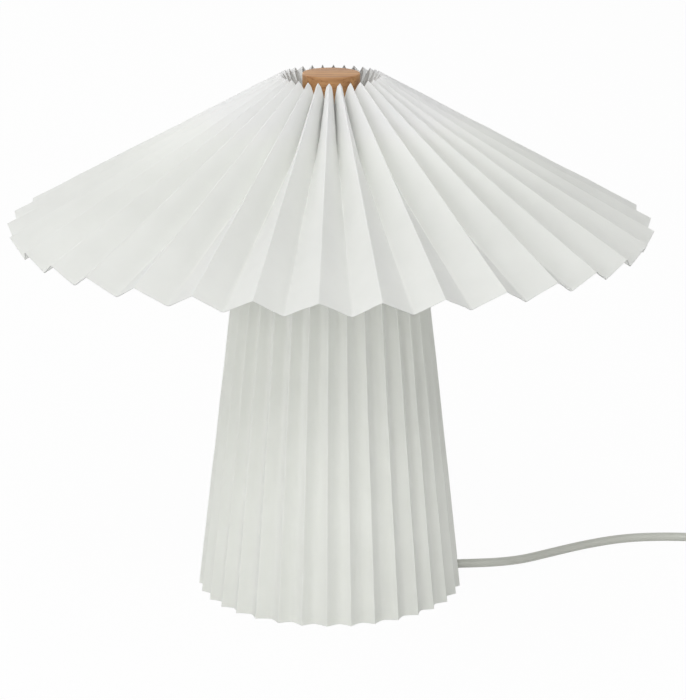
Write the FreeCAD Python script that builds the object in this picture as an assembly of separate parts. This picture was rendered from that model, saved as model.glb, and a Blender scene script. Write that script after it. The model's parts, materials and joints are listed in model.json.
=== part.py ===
import FreeCAD, Part
import math
import os

# Pleated paper table lamp, in millimetres. +Z is up and the origin is on the table under the
# middle of the lamp. The front of the lamp faces -Y and the flex leaves it near +X.

# ---- the two pleated papers ------------------------------------------------
PLEATS = 34
PAPER = 0.4
FIRST_FOLD_DEG = -2.07            # an outer fold of the shade, from the front towards +X
SHADE_SEAT_Z = 335.0              # top of the finial's flange, which carries the shade
SHADE_RIM_R = 215.0               # outer folds at the rim
SHADE_RIM_DROP = 80.0             # outer folds at the rim below the seat
SHADE_RIM_INNER_R = 209.2         # inner folds at the rim
SHADE_RIM_INNER_DROP = 90.1
SHADE_TOP_R = 33.6                # outer folds where they stand up round the cap
SHADE_TOP_RISE = 19.2             # outer folds at the top above the seat
SHADE_TOP_INNER_R = 22.8
SHADE_TOP_INNER_DROP = 0.6
SKIRT_FLOOR_GAP = 0.6
SKIRT_FOOT_R = 89.9               # outer folds at the table
SKIRT_FOOT_DEPTH = 5.1
SKIRT_TOP_R = 60.0
SKIRT_TOP_DEPTH = 6.0
SKIRT_TOP_Z = 262.0
SKIRT_FIRST_FOLD_DEG = -1.4
UNEVEN_DEG = 0.45                 # how far hand folding lets a fold stray
SEAT_GAP = 0.3                    # paper to the wire it is glued to
FIT = 0.05                        # pieces that slide or sit in each other
WELD_GAP = 0.05
WELD_SINK = 0.4                   # how deep a spoke is welded into its hub

# ---- wires of the two paper frames -----------------------------------------
RING_WIRE_R = 1.2
SPOKE_WIRE_R = 1.5
SPOKES = 4
SPOKE_FIRST_DEG = 45.0
SHADE_RING_HIGH_R = 27.0
SHADE_RING_LOW_R = 100.0
SHADE_SPOKE_PAST = 3.0            # a spoke runs on under the low ring by this much
SHADE_SPOKE_START_R = 10.0
SHADE_SPOKE_BEND_R = 4.0
SHADE_HUB_R = 20.0
SHADE_HUB_T = 1.5
SKIRT_RING_LOW_Z = 3.0
SKIRT_RING_HIGH_Z = 257.0
SKIRT_HUB_R = 14.0
SKIRT_HUB_T = 1.5

# ---- weighted base ---------------------------------------------------------
FOOT_R = 7.0
FOOT_H = 3.0
FOOT_COUNT = 4
FOOT_INSET = 12.0                 # middle of a foot inside the base's rim
BASE_R = 64.0
BASE_TOP_Z = 30.0
BASE_WALL = 1.5
BASE_EDGE_R = 6.0
COVER_T = 1.2
COVER_GAP = 0.3
BALLAST_GAP = 1.5                 # ballast inside the shell's wall
BALLAST_BORE_R = 22.0
BALLAST_HEADROOM = 4.8            # ballast below the shell's ceiling
SCREW_COUNT = 3
SCREW_INSET = 24.0                # screws inside the base's rim
SCREW_HEAD_R = 3.5
SCREW_HEAD_H = 2.0
SCREW_R = 2.0
SCREW_LENGTH = 12.0
SCREW_FIRST_DEG = 60.0
SCREW_SLOT = 0.9                  # width and depth of the driver's slot
SCREW_HOLE_SPARE = 1.0            # hole left empty past the tip

# ---- stem, nuts and washers ------------------------------------------------
STEM_R = 5.0
STEM_WALL = 1.0
STEM_PAST_NUT = 1.0                # tube below its lowest nut
NUT_FLATS = 17.0
NUT_H = 4.0
WASHER_R = 10.0
WASHER_T = 1.5
HOLDER_SEAT_Z = 202.0             # where the lampholder stands on the harp's saddle
STEM_IN_HOLDER = 8.0
SPACER_R = 7.5
SPACER_H = 4.5

# ---- harp and finial -------------------------------------------------------
HARP_WIRE_R = 2.0
HARP_HALF_WIDTH = 39.0
HARP_TOP_HALF_WIDTH = 18.0
HARP_SHOULDER_DROP = 31.0         # upper bend of each leg below the wire's top run
HARP_BEND_R = 14.0
SADDLE_W = 13.0
SADDLE_T = 2.0
SADDLE_SOCKET_H = 10.0
SADDLE_SOCKET_WALL = 1.2
FINIAL_BODY_R = 5.0
FINIAL_FLANGE_R = 7.0
FINIAL_FLANGE_T = 1.4
FINIAL_FOOT_DROP = 3.5            # body below the middle of the harp's wire
FINIAL_SEAT_RISE = 4.0            # shade's seat above the middle of the harp's wire
STUD_R = 3.0
STUD_ENGAGED = 7.5
STUD_CLEARANCE = 0.3
STUD_CHAMFER = 0.6

# ---- wooden cap ------------------------------------------------------------
CAP_R = 19.1
CAP_H = 18.0
CAP_EDGE_R = 0.9
CAP_WASHER_R = 12.0
CAP_WASHER_T = 0.8
INSERT_R = 4.5
INSERT_H = 11.0
INSERT_HEADROOM = 1.0

# ---- lampholder and bulb ---------------------------------------------------
HOLDER_R = 14.0
HOLDER_WALL = 1.6
HOLDER_CAP_H = 19.0
HOLDER_CAP_SLOPE_R = 4.0           # sloped shoulder of the cap, across and up
HOLDER_CAP_SLOPE_H = 5.0
HOLDER_CAP_FLOOR = 2.5
HOLDER_SLEEVE_WALL = 2.5
HOLDER_BODY_H = 32.0
HOLDER_GRIP_H = 12.0               # wide lower part of the body
HOLDER_GRIP_STEP = 1.0
HOLDER_SHELF_H = 6.0               # hollow above the ceramic block
HOLDER_SHELF_SLOPE = 2.0
HOLDER_BLOCK_H = 8.5
HOLDER_BLOCK_GAP = 0.2
WELL_W = 5.0                       # open wells for the two terminal screws
WELL_D = 3.4
WELL_H = 5.0
WELL_OFFSET = 8.0
THREAD_SHELL_WALL = 0.55
THREAD_SHELL_PLAY = 0.1            # bulb's cap in the shell
THREAD_SHELL_H = 21.0
THREAD_SHELL_GAP = 1.0
TONGUE_W = 4.0
TONGUE_L = 9.0
TONGUE_T = 0.6
TONGUE_DOME_R = 1.6
TONGUE_DOME_H = 1.4
BULB_CAP_R = 6.95
BULB_CAP_TAPER_H = 3.0
BULB_COLLAR_GAP = 0.4              # bulb's collar above the rim of the lampholder
BULB_TIP_R = 2.4
BULB_TIP_H = 2.6
BULB_INSULATOR_R = 5.4
BULB_INSULATOR_H = 1.2
BULB_GLOBE_R = 22.5
BULB_GLOBE_WALL = 1.2
BULB_COLLAR_FOOT_R = 7.6
BULB_COLLAR_H = 18.0
BULB_WAIST_R = 8.4                 # slim lower part of the collar
BULB_WAIST_H = 4.0
BULB_FLARE_R = 13.1
BULB_FLARE_H = 11.0
GLOBE_RIM_R = 18.6

# ---- flex, from the base to the inline switch, the put-away coil and the plug 
FLEX_R = 3.0
GLAND_Z = 10.0
GLAND_DEG = 5.0                   # from +X towards +Y
GLAND_L = 22.0                     # from the base's wall to the tip
GLAND_FLANGE_R = 5.7
GLAND_FLANGE_T = 2.0
GLAND_NECK_R = 4.5
GLAND_LOCK_T = 2.8
GLAND_TAPER_R = 5.0
GLAND_TIP_R = 3.9
CABLE_CLEARANCE = 2.5             # room round the flex in its channel
GLAND_POCKET_W = 15.0
GLAND_POCKET_DEPTH = 3.6
NOTCH_CLEARANCE = 1.6             # skirt's paper round the tip of the strain relief
CABLE_BEND_R = 14.0
CABLE_TOP_Z = 212.0
FLEX_STRAIGHT = 17.0              # the flex leaves each piece in line with it for this much
FLEX_TO_SWITCH = [(118.5, 18.5, 7.4), (136.0, 34.0, 4.0), (157.0, 51.5, 3.0), (184.0, 69.5, 3.0),
                  (212.0, 82.5, 3.0), (240.0, 85.5, 3.0), (263.0, 82.0, 3.6)]
SWITCH_AT = (340.0, 78.0)
SWITCH_AXIS_Z = 8.0
FLEX_TO_COIL = [(417.0, 81.0, 5.6), (436.0, 91.0, 4.0), (452.0, 104.0, 4.0)]
COIL_AT = (417.0, 165.0)
COIL_OUT_R = 42.4                 # middle of the outermost turn
COIL_IN_R = 24.3                  # middle of the innermost turn
COIL_LEAD = 28.0                  # straight ends of the coil, tangent to its outer turn
TURN_PITCH = 6.2
COIL_SPREAD = 1.5                 # loose turns reach this much past the outermost one
COIL_SKIN = 0.3                   # the closed ring is this much thinner than its turns, above and below
TIE_DEG = 225.0
TIE_T = 1.0
TIE_W = 9.0
PLUG_STRAIGHT = 11.0              # straight flex at the coil and at the plug
PLUG_RELIEF_END_X = 354.0

# ---- inline switch ---------------------------------------------------------
SWITCH_L = 62.0
SWITCH_W = 26.0
SWITCH_H = 19.0
SWITCH_SPLIT_Z = 8.0
SWITCH_WALL = 1.7
SWITCH_CORNER_R = 7.0
SWITCH_EDGE_R = 2.4
SWITCH_BUSH_L = 12.0
SWITCH_BUSH_R = 5.2
SWITCH_BUSH_TIP_R = 3.8
SWITCH_BUSH_NECK_R = 4.4
SWITCH_BUSH_NECK_L = 3.5
ROCKER_L = 21.0
ROCKER_W = 10.0
ROCKER_GAP = 0.5
ROCKER_TILT_DEG = 8.0
ROCKER_PIVOT_DROP = 3.2           # pivot below the top of the switch
ROCKER_TOP_RISE = 3.4
ROCKER_END_RISE = 5.4
ROCKER_DEPTH = 4.2
TRUNNION_R = 1.4
TRUNNION_L = 1.2
CHEEK_L = 8.0                      # the cheeks that carry the rocker's pins
CHEEK_WALL = 1.2
CHEEK_BELOW = 1.6
SLOT_END_GAP = 0.9                 # slot past each end of the rocker, for its swing
ROCKER_BEVEL_L = 3.5
ROCKER_BEVEL_H = 2.0
TERMINAL_L = 9.0
TERMINAL_W = 6.0
TERMINAL_H = 6.0
TERMINAL_SPACING = 30.0
SWITCH_SCREW_R = 1.4
SWITCH_SCREW_HEAD_R = 2.6
SWITCH_SCREW_HEAD_H = 1.6
SWITCH_SCREW_L = 10.0
SWITCH_SCREW_SPACING = 46.0
SWITCH_SCREW_OFFSET = 8.2
SWITCH_SCREW_SUNK = 0.6
SWITCH_BOSS_WALL = 0.9
SWITCH_POST_WALL = 1.4
SWITCH_BOSS_INSET = 0.2            # bosses stay this far inside the outer face
SWITCH_BUSH_COLLAR = 1.5
WIRE_WAY_R = 1.1

# ---- flat two-pin plug -----------------------------------------------------
PLUG_W = 35.3
PLUG_T = 13.7
PLUG_L = 34.0
PLUG_TAIL_W = 16.0
PLUG_SHOULDER_L = 14.0
PLUG_EDGE_R = 2.5
PLUG_RELIEF_L = 22.0
PLUG_RELIEF_R = 5.6
PLUG_RELIEF_TIP_R = 3.9
PLUG_RELIEF_NECK = 2.0
PIN_R = 2.0
PIN_L = 19.0
PIN_SPACING = 18.6
PIN_SLEEVE_R = 2.4
PIN_SLEEVE_L = 9.0
PIN_ROOT = 6.0
PIN_TIP_R = 1.4

UP = FreeCAD.Vector(0, 0, 1)
GROUND = FreeCAD.Vector(0, 0, 0)
STEP_DEG = 360.0 / PLEATS


def vec(x, y, z):
    return FreeCAD.Vector(x, y, z)


def round_lamp(r, deg, z):
    """A point at radius r and height z, deg round from the front towards +X."""
    a = math.radians(deg)
    return vec(r * math.sin(a), -r * math.cos(a), z)


def cylinder(r, h, base, axis=UP):
    return Part.makeCylinder(r, h, base, axis)


def ring(outer_r, inner_r, h, base, axis=UP):
    return cylinder(outer_r, h, base, axis).cut(cylinder(inner_r, h, base, axis))


def turned(profile):
    """A solid of revolution about Z from (r, z) corners."""
    wire = Part.makePolygon([vec(r, 0, z) for r, z in profile + profile[:1]])
    return Part.Face(wire).revolve(GROUND, UP, 360)


def aimed(shape, origin, along):
    """The shape, made along +Z at the origin, set at a place and pointed along a direction."""
    shape.Placement = FreeCAD.Placement(origin, FreeCAD.Rotation(UP, along))
    return shape


def bent_path(points, bend_r=None):
    """Straight runs joined by tangent arcs. With no radius given, each arc is as large as its runs allow."""
    edges = []
    radii = []
    last = points[0]
    for before, corner, after in zip(points, points[1:], points[2:]):
        run_in = corner - before
        run_out = after - corner
        half_turn = run_in.getAngle(run_out) / 2
        tangent = 0.45 * min(run_in.Length, run_out.Length)
        if bend_r:
            tangent = bend_r * math.tan(half_turn)
        radius = tangent / math.tan(half_turn)
        d_in = vec(*run_in).normalize()
        d_out = vec(*run_out).normalize()
        start = corner - d_in * tangent
        end = corner + d_out * tangent
        inward = (d_out - d_in).normalize()
        middle = corner + inward * (radius / math.cos(half_turn) - radius)
        edges.append(Part.LineSegment(last, start).toShape())
        edges.append(Part.Arc(start, middle, end).toShape())
        radii.append(radius)
        last = end
    edges.append(Part.LineSegment(last, points[-1]).toShape())
    return Part.Wire(edges), radii


def tube_along(points, r, bend_r=None, name=""):
    """A round bar along a bent path."""
    path, radii = bent_path(points, bend_r)
    start = path.Edges[0]
    profile = Part.Wire(Part.makeCircle(r, points[0], start.tangentAt(start.FirstParameter)))
    tube = path.makePipeShell([profile], True, False)
    if name:
        share = tube.Volume / (math.pi * r * r * path.Length)
        rounded = [round(x, 1) for x in radii]
        print(name, "length", round(path.Length, 1), "radii", rounded, "volume share", round(share, 4))
    return tube


def fold_normal(low, high):
    """Unit normal of a fold line in its own upright plane, pointing out of the lamp, as (r, z)."""
    dr = high[0] - low[0]
    dz = high[1] - low[1]
    length = math.hypot(dr, dz)
    return dz / length, -dr / length


def mitre(outer, inner, normal):
    """Half the paper's thickness, measured along the fold's normal at one end of the folds."""
    across = (outer[0] + inner[0]) / 2 * math.sin(math.pi / PLEATS)
    depth = (outer[0] - inner[0]) * normal[0] + (outer[1] - inner[1]) * normal[1]
    return PAPER / 2 / math.sin(math.atan2(across, depth))


def stray(index):
    """A fold's small angle away from even spacing, the same for every fold of that number."""
    return UNEVEN_DEG * (math.sin(2.4 * index) + math.sin(0.9 * index + 1.0)) / 2


class Pleats:
    """A ring of accordion folds between a low edge and a high edge, each end given as (r, z)."""

    def __init__(self, outer_low, outer_high, inner_low, inner_high, first_deg):
        self.first_deg = first_deg
        self.lines = {}
        for kind, low, high in (("outer", outer_low, outer_high), ("inner", inner_low, inner_high)):
            self.lines[kind] = (low, high, fold_normal(low, high))
        normal = self.lines["outer"][2]
        self.mitres = (mitre(outer_low, inner_low, normal), mitre(outer_high, inner_high, normal))

    def edge(self, kind, end, side):
        """(r, z) of a fold's edge: kind outer or inner, end 0 low or 1 high, side +1 outside or -1 inside."""
        line = self.lines[kind]
        reach = side * self.mitres[end]
        return line[end][0] + line[2][0] * reach, line[end][1] + line[2][1] * reach

    def under_fold(self, r, gap):
        """(r, z, slope) of a point below the inner folds' inside edge, gap away along their normal."""
        low = self.edge("inner", 0, -1)
        high = self.edge("inner", 1, -1)
        slope = (high[1] - low[1]) / (high[0] - low[0])
        z = low[1] + slope * (r - low[0])
        return z - gap * math.hypot(1, slope)

    def inside_fold(self, z, gap):
        """Radius of a point inside the inner folds at height z, gap away."""
        low = self.edge("inner", 0, -1)
        high = self.edge("inner", 1, -1)
        slope = (high[0] - low[0]) / (high[1] - low[1])
        return low[0] + slope * (z - low[1]) - gap * math.hypot(1, slope)

    def solid(self):
        corners = []
        for i in range(2 * PLEATS):
            kind = "outer" if i % 2 == 0 else "inner"
            deg = self.first_deg + i * STEP_DEG / 2 + stray(i)
            fold = {}
            for end in (0, 1):
                for side in (1, -1):
                    r, z = self.edge(kind, end, side)
                    fold[(end, side)] = round_lamp(r, deg, z)
            corners.append(fold)
        faces = []
        walls = [((0, 1), (1, 1)), ((0, -1), (1, -1)), ((0, 1), (0, -1)), ((1, 1), (1, -1))]
        for here, following in zip(corners, corners[1:] + corners[:1]):
            for a, b in walls:
                one = Part.LineSegment(here[a], here[b]).toShape()
                two = Part.LineSegment(following[a], following[b]).toShape()
                faces.append(Part.makeRuledSurface(one, two))
        skin = Part.makeCompound(faces)
        skin.sewShape()
        solid = Part.Solid(skin.Shells[0])
        if solid.Volume < 0:
            solid.reverse()
        return solid


SHADE_RIM_Z = SHADE_SEAT_Z - SHADE_RIM_DROP
SHADE_RIM_INNER_Z = SHADE_SEAT_Z - SHADE_RIM_INNER_DROP
SHADE_TOP_Z = SHADE_SEAT_Z + SHADE_TOP_RISE
SHADE_TOP_INNER_Z = SHADE_SEAT_Z - SHADE_TOP_INNER_DROP
shade_pleats = Pleats((SHADE_RIM_R, SHADE_RIM_Z), (SHADE_TOP_R, SHADE_TOP_Z),
                      (SHADE_RIM_INNER_R, SHADE_RIM_INNER_Z),
                      (SHADE_TOP_INNER_R, SHADE_TOP_INNER_Z), FIRST_FOLD_DEG)
skirt_pleats = Pleats((SKIRT_FOOT_R, SKIRT_FLOOR_GAP), (SKIRT_TOP_R, SKIRT_TOP_Z),
                      (SKIRT_FOOT_R - SKIRT_FOOT_DEPTH, SKIRT_FLOOR_GAP),
                      (SKIRT_TOP_R - SKIRT_TOP_DEPTH, SKIRT_TOP_Z), SKIRT_FIRST_FOLD_DEG)

HARP_TOP_Z = SHADE_SEAT_Z - FINIAL_SEAT_RISE
HARP_SHOULDER_Z = HARP_TOP_Z - HARP_SHOULDER_DROP
FOOT_CIRCLE_R = BASE_R - FOOT_INSET
SCREW_CIRCLE_R = BASE_R - SCREW_INSET
COVER_Z = FOOT_H
BALLAST_Z = COVER_Z + COVER_T
BALLAST_R = BASE_R - BASE_WALL - BALLAST_GAP
BALLAST_H = BASE_TOP_Z - BASE_WALL - BALLAST_HEADROOM - BALLAST_Z
NUT_R = NUT_FLATS / 2 / math.cos(math.pi / 6)
SADDLE_Z = HOLDER_SEAT_Z - SADDLE_T
SPACER_Z = SADDLE_Z - SPACER_H
SKIRT_HUB_Z = SPACER_Z - SKIRT_HUB_T
UPPER_WASHER_Z = SKIRT_HUB_Z - WASHER_T
UPPER_NUT_Z = UPPER_WASHER_Z - NUT_H
BASE_CEILING_Z = BASE_TOP_Z - BASE_WALL
GLAND_END_R = BASE_R + GLAND_L
GLAND_ALONG = vec(math.cos(math.radians(GLAND_DEG)), math.sin(math.radians(GLAND_DEG)), 0)


def along_gland(r, z=GLAND_Z):
    return GLAND_ALONG * r + vec(0, 0, z)


def gland_slot(width, height, near, far, bottom_z):
    """A box along the flex's way out of the base."""
    slot = Part.makeBox(far - near, width, height, vec(near, -width / 2, bottom_z))
    slot.rotate(GROUND, UP, GLAND_DEG)
    return slot


# ---- paper -----------------------------------------------------------------
def skirt_paper():
    notch_r = GLAND_TIP_R + NOTCH_CLEARANCE
    notch = gland_slot(2 * notch_r, GLAND_Z + notch_r, BASE_R, SKIRT_FOOT_R + 5, 0)
    return skirt_pleats.solid().cut(notch)


def shade_paper():
    return shade_pleats.solid()


# ---- wire frames -----------------------------------------------------------
def spoke_angles():
    return [SPOKE_FIRST_DEG + k * 360.0 / SPOKES for k in range(SPOKES)]


def shade_ring(r):
    z = shade_pleats.under_fold(r, SEAT_GAP + RING_WIRE_R)
    return Part.makeTorus(r, RING_WIRE_R, vec(0, 0, z))


def shade_spider():
    below = SEAT_GAP + 2 * RING_WIRE_R + WELD_GAP + SPOKE_WIRE_R
    under_hub = SHADE_SEAT_Z - SPOKE_WIRE_R + WELD_SINK
    edge_r = SHADE_HUB_R - 2 * SPOKE_WIRE_R
    dip_r = SHADE_RING_HIGH_R - RING_WIRE_R - SPOKE_WIRE_R
    end_r = SHADE_RING_LOW_R + SHADE_SPOKE_PAST
    body = cylinder(SHADE_HUB_R, SHADE_HUB_T, vec(0, 0, SHADE_SEAT_Z))
    for deg in spoke_angles():
        path = [round_lamp(SHADE_SPOKE_START_R, deg, under_hub), round_lamp(edge_r, deg, under_hub),
                round_lamp(dip_r, deg, shade_pleats.under_fold(dip_r, below)),
                round_lamp(end_r, deg, shade_pleats.under_fold(end_r, below))]
        body = body.fuse(tube_along(path, SPOKE_WIRE_R, bend_r=SHADE_SPOKE_BEND_R))
    return body.cut(cylinder(STUD_R + STUD_CLEARANCE, SHADE_HUB_T, vec(0, 0, SHADE_SEAT_Z)))


def skirt_ring(z):
    r = skirt_pleats.inside_fold(z, SEAT_GAP + RING_WIRE_R)
    return Part.makeTorus(r, RING_WIRE_R, vec(0, 0, z))


def rib_radius(z):
    inward = SEAT_GAP + 2 * RING_WIRE_R + WELD_GAP + SPOKE_WIRE_R
    return skirt_pleats.inside_fold(z, inward)


def skirt_ribs():
    bottom_z = SKIRT_RING_LOW_Z - RING_WIRE_R
    top_z = SKIRT_RING_HIGH_Z + RING_WIRE_R
    ribs = []
    for deg in spoke_angles():
        foot = round_lamp(rib_radius(bottom_z), deg, bottom_z)
        head = round_lamp(rib_radius(top_z), deg, top_z)
        ribs.append(cylinder(SPOKE_WIRE_R, (head - foot).Length, foot, head - foot))
    return ribs


def skirt_spider():
    z = SKIRT_HUB_Z + SKIRT_HUB_T / 2
    start_r = WASHER_R + SPOKE_WIRE_R
    reach = rib_radius(z + SPOKE_WIRE_R) - SPOKE_WIRE_R - 2 * WELD_GAP
    body = cylinder(SKIRT_HUB_R, SKIRT_HUB_T, vec(0, 0, SKIRT_HUB_Z))
    for deg in spoke_angles():
        out = round_lamp(1, deg, 0)
        body = body.fuse(cylinder(SPOKE_WIRE_R, reach - start_r, out * start_r + vec(0, 0, z), out))
    return body.cut(cylinder(STEM_R + FIT, SKIRT_HUB_T, vec(0, 0, SKIRT_HUB_Z)))


# ---- weighted base ---------------------------------------------------------
def feet():
    return [cylinder(FOOT_R, FOOT_H, round_lamp(FOOT_CIRCLE_R, k * 360.0 / FOOT_COUNT, 0))
            for k in range(FOOT_COUNT)]


def screw_places(z):
    return [round_lamp(SCREW_CIRCLE_R, SCREW_FIRST_DEG + k * 360.0 / SCREW_COUNT, z)
            for k in range(SCREW_COUNT)]


def base_shell():
    height = BASE_TOP_Z - COVER_Z
    outside = cylinder(BASE_R, height, vec(0, 0, COVER_Z))
    inside = cylinder(BASE_R - BASE_WALL, height - BASE_WALL, vec(0, 0, COVER_Z))
    rims = []
    for solid, z, edge_r in ((outside, BASE_TOP_Z, BASE_EDGE_R),
                             (inside, BASE_CEILING_Z, BASE_EDGE_R - BASE_WALL)):
        top = [e for e in solid.Edges if abs(e.BoundBox.ZMin - z) < 0.01]
        rims.append(solid.makeFillet(edge_r, top))
    shell = rims[0].cut(rims[1])
    shell = shell.cut(cylinder(STEM_R + FIT, BASE_WALL * 2, vec(0, 0, BASE_TOP_Z - BASE_WALL * 1.5)))
    hole = cylinder(GLAND_NECK_R + FIT, BASE_WALL * 4, along_gland(BASE_R - BASE_WALL * 3), GLAND_ALONG)
    return shell.cut(hole)


def ballast_ring():
    body = ring(BALLAST_R, BALLAST_BORE_R, BALLAST_H, vec(0, 0, BALLAST_Z))
    way_r = FLEX_R + CABLE_CLEARANCE
    channel = gland_slot(2 * way_r, GLAND_Z + way_r - BALLAST_Z, 0, BALLAST_R + 1, BALLAST_Z)
    pocket_near = BASE_R - BASE_WALL - GLAND_POCKET_DEPTH
    pocket_h = GLAND_Z - BALLAST_Z + GLAND_POCKET_W / 2
    pocket = gland_slot(GLAND_POCKET_W, pocket_h, pocket_near, BALLAST_R + 1, BALLAST_Z)
    body = body.cut(channel).cut(pocket)
    for place in screw_places(BALLAST_Z):
        body = body.cut(cylinder(SCREW_R + FIT, SCREW_LENGTH, place))
    return body


def bottom_cover():
    body = cylinder(BASE_R - BASE_WALL - COVER_GAP, COVER_T, vec(0, 0, COVER_Z))
    for place in screw_places(COVER_Z):
        body = body.cut(cylinder(SCREW_R + FIT, COVER_T, place))
    return body


def cover_screws():
    screws = []
    for place in screw_places(COVER_Z - SCREW_HEAD_H):
        head = cylinder(SCREW_HEAD_R, SCREW_HEAD_H, place)
        corner = place - vec(SCREW_HEAD_R, SCREW_SLOT / 2, 0)
        slot = Part.makeBox(SCREW_HEAD_R * 2, SCREW_SLOT, SCREW_SLOT, corner)
        shank = cylinder(SCREW_R, COVER_T + SCREW_LENGTH - SCREW_HOLE_SPARE, place + vec(0, 0, SCREW_HEAD_H))
        screws.append(head.cut(slot).fuse(shank))
    return screws


# ---- stem ------------------------------------------------------------------
def hex_nut(z):
    corners = [round_lamp(NUT_R, 60.0 * k, z) for k in range(7)]
    body = Part.Face(Part.makePolygon(corners)).extrude(vec(0, 0, NUT_H))
    return body.cut(cylinder(STEM_R + FIT, NUT_H, vec(0, 0, z)))


def stem_tube():
    top_z = HOLDER_SEAT_Z + STEM_IN_HOLDER
    bottom_z = BASE_CEILING_Z - NUT_H - STEM_PAST_NUT
    return ring(STEM_R, STEM_R - STEM_WALL, top_z - bottom_z, vec(0, 0, bottom_z))


def stem_nuts():
    return [hex_nut(BASE_CEILING_Z - NUT_H), hex_nut(BASE_TOP_Z + WASHER_T), hex_nut(UPPER_NUT_Z)]


def stem_washers():
    return [ring(WASHER_R, STEM_R + FIT, WASHER_T, vec(0, 0, z)) for z in (BASE_TOP_Z, UPPER_WASHER_Z)]


def harp_spacer():
    return ring(SPACER_R, STEM_R + FIT, SPACER_H, vec(0, 0, SPACER_Z))


# ---- harp ------------------------------------------------------------------
def harp_saddle():
    half = HARP_HALF_WIDTH
    plate = Part.makeBox(half * 2, SADDLE_W, SADDLE_T, vec(-half, -SADDLE_W / 2, SADDLE_Z))
    socket_r = HARP_WIRE_R + FIT + SADDLE_SOCKET_WALL
    for side in (-1, 1):
        x = side * half
        plate = plate.fuse(cylinder(SADDLE_W / 2, SADDLE_T, vec(x, 0, SADDLE_Z)))
        plate = plate.fuse(cylinder(socket_r, SADDLE_T + SADDLE_SOCKET_H, vec(x, 0, SADDLE_Z)))
    for side in (-1, 1):
        bore = cylinder(HARP_WIRE_R + FIT, SADDLE_SOCKET_H, vec(side * half, 0, HOLDER_SEAT_Z))
        plate = plate.cut(bore)
    return plate.cut(cylinder(STEM_R + FIT, SADDLE_T, vec(0, 0, SADDLE_Z)))


def harp():
    side = [(HARP_HALF_WIDTH, HOLDER_SEAT_Z), (HARP_HALF_WIDTH, HARP_SHOULDER_Z),
            (HARP_TOP_HALF_WIDTH, HARP_TOP_Z)]
    path = [vec(-x, 0, z) for x, z in side] + [vec(x, 0, z) for x, z in reversed(side)]
    return tube_along(path, HARP_WIRE_R, bend_r=HARP_BEND_R)


def finial_stud():
    foot_z = HARP_TOP_Z - FINIAL_FOOT_DROP
    body = cylinder(FINIAL_BODY_R, SHADE_SEAT_Z - foot_z, vec(0, 0, foot_z))
    flange = cylinder(FINIAL_FLANGE_R, FINIAL_FLANGE_T, vec(0, 0, SHADE_SEAT_Z - FINIAL_FLANGE_T))
    stud_h = SHADE_HUB_T + CAP_WASHER_T + STUD_ENGAGED
    stud = cylinder(STUD_R, stud_h, vec(0, 0, SHADE_SEAT_Z))
    tip = [e for e in stud.Edges if abs(e.BoundBox.ZMin - SHADE_SEAT_Z - stud_h) < 0.01]
    stud = stud.makeChamfer(STUD_CHAMFER, tip)
    eye_r = HARP_WIRE_R + FIT
    eye = cylinder(eye_r, FINIAL_FLANGE_R * 4, vec(-FINIAL_FLANGE_R * 2, 0, HARP_TOP_Z), vec(1, 0, 0))
    return body.fuse(flange).fuse(stud).cut(eye)


# ---- wooden cap ------------------------------------------------------------
CAP_WASHER_Z = SHADE_SEAT_Z + SHADE_HUB_T
CAP_Z = CAP_WASHER_Z + CAP_WASHER_T


def cap_washer():
    return ring(CAP_WASHER_R, STUD_R + STUD_CLEARANCE, CAP_WASHER_T, vec(0, 0, CAP_WASHER_Z))


def wooden_cap():
    body = cylinder(CAP_R, CAP_H, vec(0, 0, CAP_Z))
    rims = [e for e in body.Edges if abs(e.BoundBox.ZLength) < 0.01]
    body = body.makeFillet(CAP_EDGE_R, rims)
    return body.cut(cylinder(INSERT_R + FIT, INSERT_H + INSERT_HEADROOM, vec(0, 0, CAP_Z)))


def cap_insert():
    return ring(INSERT_R, STUD_R + FIT, INSERT_H, vec(0, 0, CAP_Z))


# ---- lampholder ------------------------------------------------------------
HOLDER_BODY_Z = HOLDER_SEAT_Z + HOLDER_CAP_H
BLOCK_Z = HOLDER_BODY_Z
TONGUE_Z = BLOCK_Z + HOLDER_BLOCK_H
HOLDER_RIM_Z = HOLDER_BODY_Z + HOLDER_BODY_H
THREAD_SHELL_Z = TONGUE_Z + THREAD_SHELL_GAP
THREAD_BORE_R = BULB_CAP_R + THREAD_SHELL_PLAY
THREAD_SHELL_R = THREAD_BORE_R + THREAD_SHELL_WALL


def lampholder_cap():
    bore_r = STEM_R + FIT
    sleeve_r = STEM_R + HOLDER_SLEEVE_WALL
    inner_r = HOLDER_R - HOLDER_WALL
    foot_r = HOLDER_R - HOLDER_CAP_SLOPE_R
    seat = HOLDER_SEAT_Z
    floor_z = seat + HOLDER_CAP_FLOOR
    sleeve_z = seat + STEM_IN_HOLDER
    return turned([(bore_r, seat), (foot_r, seat), (HOLDER_R, seat + HOLDER_CAP_SLOPE_H),
                   (HOLDER_R, HOLDER_BODY_Z), (inner_r, HOLDER_BODY_Z),
                   (inner_r, seat + HOLDER_CAP_SLOPE_H + 1), (foot_r - 1, floor_z), (sleeve_r, floor_z),
                   (sleeve_r, sleeve_z), (bore_r, sleeve_z)])


def lampholder_body():
    inner_r = HOLDER_R - HOLDER_WALL
    mouth_r = THREAD_SHELL_R + FIT
    shelf_z = TONGUE_Z + HOLDER_SHELF_H
    grip_z = HOLDER_BODY_Z + HOLDER_GRIP_H
    step = HOLDER_GRIP_STEP
    return turned([(inner_r, HOLDER_BODY_Z), (HOLDER_R, HOLDER_BODY_Z), (HOLDER_R, grip_z),
                   (HOLDER_R - step, grip_z + step), (HOLDER_R - step, HOLDER_RIM_Z - step),
                   (HOLDER_R - 2 * step, HOLDER_RIM_Z), (mouth_r, HOLDER_RIM_Z), (mouth_r, shelf_z),
                   (inner_r, shelf_z - HOLDER_SHELF_SLOPE)])


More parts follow.
